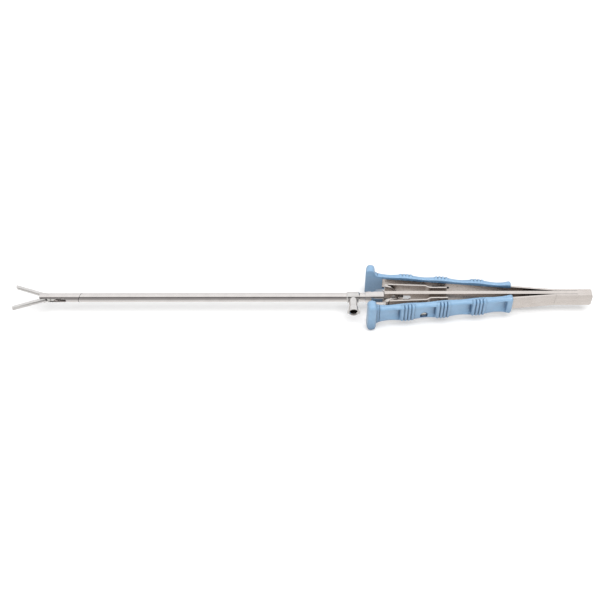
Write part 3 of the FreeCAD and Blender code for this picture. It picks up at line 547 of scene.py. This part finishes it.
def make_seam_shade_ring():
    """Thin dark ring around the tube along the slanted joint, painted shade of the joint's gap."""
    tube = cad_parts["shaft_tube"]
    lean = math.tan(JOINT_SLANT)
    front = min((tube.matrix_world @ Vector(corner)).x for corner in tube.bound_box)
    middle = front + TUBE_R * MM * lean
    verts = []
    faces = []
    width = len(JOINT_SECTION)
    for i in range(JOINT_STEPS):
        turn = 2 * math.pi * i / JOINT_STEPS
        for reach, side in JOINT_SECTION:
            y, z = reach * math.cos(turn) * MM, reach * math.sin(turn) * MM
            verts.append((middle + y * lean + side * MM, y, z + FLEX.z * MM))
        faces += ring_faces(i * width, (i + 1) % JOINT_STEPS * width, width)
    mesh = bpy.data.meshes.new("shaft_seam_shade")
    mesh.from_pydata(verts, [], faces)
    obj = add_object("shaft_seam_shade", mesh)
    # the black rubber's material gives the ring its painted shade
    mesh.materials.append(MATERIALS["seal_rubber"])
    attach(obj, "shaft")


make_seam_shade_ring()

# Floor: for the camera a glow that grows from the middle outwards up to a strength of 1, with the
# object's shadow; for reflections a painted tone, darker far in front
FLOOR_HALF = 4.0
FLOOR_LOW = -0.0002
FLOOR_TONE = (0.80, 0.80, 0.80, 1)
GLOW_NEAR = 0.27
GLOW_FAR = 1.0
GLOW_RANGE = (0.35, 1.0)
MIRROR_RANGE = (-70 * MM, -6 * MM)
MIRROR_FAR_TONE = (0.42, 0.41, 0.41, 1)
MIRROR_NEAR_TONE = (0.86, 0.85, 0.84, 1)


def floor_material():
    mat = bpy.data.materials.new("floor_white")
    mat.use_nodes = True
    tree = Tree(mat.node_tree)
    path = tree.add("ShaderNodeLightPath")
    where = tree.add("ShaderNodeTexCoord")
    diffuse = tree.add("ShaderNodeBsdfDiffuse")
    tree.put(diffuse.inputs["Color"], FLOOR_TONE)
    far = tree.add("ShaderNodeVectorMath", operation="LENGTH")
    tree.put(far.inputs[0], where.outputs["Object"])
    strength = tree.remap(far.outputs["Value"], *GLOW_RANGE, GLOW_NEAR, GLOW_FAR)
    glow = tree.add("ShaderNodeEmission")
    tree.put(glow.inputs["Strength"],
             tree.math("MULTIPLY", path.outputs["Is Camera Ray"], strength))
    both = tree.add("ShaderNodeAddShader")
    tree.put(both.inputs[0], diffuse.outputs[0])
    tree.put(both.inputs[1], glow.outputs[0])
    # painted reflection: what polished metal sees of the floor, lighter near the object and darker
    # far in front
    split = tree.add("ShaderNodeSeparateXYZ")
    tree.put(split.inputs[0], where.outputs["Object"])
    near = tree.remap(split.outputs[1], *MIRROR_RANGE)
    painted_reflection = tree.add("ShaderNodeEmission")
    tree.put(painted_reflection.inputs["Color"], tree.mix(near, MIRROR_FAR_TONE, MIRROR_NEAR_TONE))
    mirrored = tree.math("ADD", path.outputs["Is Glossy Ray"],
                         path.outputs["Is Transmission Ray"], clamp=True)
    pick = tree.add("ShaderNodeMixShader")
    tree.put(pick.inputs[0], mirrored)
    tree.put(pick.inputs[1], both.outputs[0])
    tree.put(pick.inputs[2], painted_reflection.outputs[0])
    out = tree.add("ShaderNodeOutputMaterial")
    tree.put(out.inputs[0], pick.outputs[0])
    return mat


def make_floor():
    mesh = bpy.data.meshes.new("floor")
    corners = [(x * FLOOR_HALF, y * FLOOR_HALF, FLOOR_LOW)
               for x, y in ((-1, -1), (1, -1), (1, 1), (-1, 1))]
    mesh.from_pydata(corners, [], [(0, 1, 2, 3)])
    obj = add_object("floor", mesh)
    mesh.materials.append(floor_material())


# World: tones of the tent from the front horizon over the top to the rear one
TENT = (
    (0.0, (0.36, 0.35, 0.35, 1)),
    (0.22, (0.30, 0.29, 0.29, 1)),
    (0.36, (0.86, 0.85, 0.84, 1)),
    (0.55, (1.0, 1.0, 1.0, 1)),
    (0.85, (0.92, 0.92, 0.93, 1)),
    (1.0, (0.72, 0.71, 0.71, 1)),
)
OPENING_TONE = (0.05, 0.05, 0.05, 1)
OPENING_EDGE = (math.radians(5), math.radians(12))
OPENING_WIDTH = (0.45, 0.75)
AMBIENT_TONE = (0.33, 0.33, 0.33, 1)
WHITE = (1, 1, 1, 1)


def make_world():
    """White for the camera. Polished metal sees a tent with a dim opening at the front."""
    world = bpy.data.worlds.new("studio")
    bpy.context.scene.world = world
    world.use_nodes = True
    tree = Tree(world.node_tree)
    where = tree.add("ShaderNodeTexCoord")
    split = tree.add("ShaderNodeSeparateXYZ")
    tree.put(split.inputs[0], where.outputs["Generated"])
    across, depth, height = split.outputs
    lift = tree.math("ARCTAN2", height, tree.math("MULTIPLY", depth, -1.0))
    away = tree.math("ABSOLUTE", tree.math("SUBTRACT", lift, math.radians(VIEW_ELEVATION)))
    hole = tree.remap(away, *OPENING_EDGE, 1.0, 0.0)
    wide = tree.remap(tree.math("ABSOLUTE", across), *OPENING_WIDTH, 1.0, 0.0)
    hole = tree.math("MULTIPLY", hole, wide)
    ramp = tree.add("ShaderNodeValToRGB")
    tree.put(ramp.inputs[0], tree.remap(lift, 0.0, math.pi))
    stops = ramp.color_ramp.elements
    for stop, (position, tone) in zip(stops, (TENT[0], TENT[-1])):
        stop.position = position
        stop.color = tone
    for position, tone in TENT[1:-1]:
        stops.new(position).color = tone
    tent = tree.mix(hole, ramp.outputs[0], OPENING_TONE)
    path = tree.add("ShaderNodeLightPath")
    glossy = tree.mix(path.outputs["Is Glossy Ray"], AMBIENT_TONE, tent)
    shown = tree.mix(path.outputs["Is Camera Ray"], glossy, WHITE)
    sky = tree.add("ShaderNodeBackground")
    tree.put(sky.inputs["Color"], shown)
    out = tree.add("ShaderNodeOutputWorld")
    tree.put(out.inputs[0], sky.outputs[0])


def soft_lamp(name, place, size, power):
    """Large lamp that points at the origin. Polished metal doesn't mirror it."""
    lamp = bpy.data.lights.new(name, "AREA")
    lamp.shape = "RECTANGLE"
    lamp.size, lamp.size_y = size
    lamp.energy = power
    obj = add_object(name, lamp)
    obj.location = place
    obj.rotation_mode = "QUATERNION"
    obj.rotation_quaternion = (-Vector(place)).to_track_quat("-Z", "Y")
    obj.visible_glossy = False


make_floor()
make_world()
soft_lamp("key_lamp", (0.1, -0.32, 1.30), (1.7, 1.2), 20.5)
soft_lamp("front_lamp", (-0.4, -1.3, 0.45), (1.4, 0.5), 3.0)

bpy.context.scene.view_settings.view_transform = "Standard"
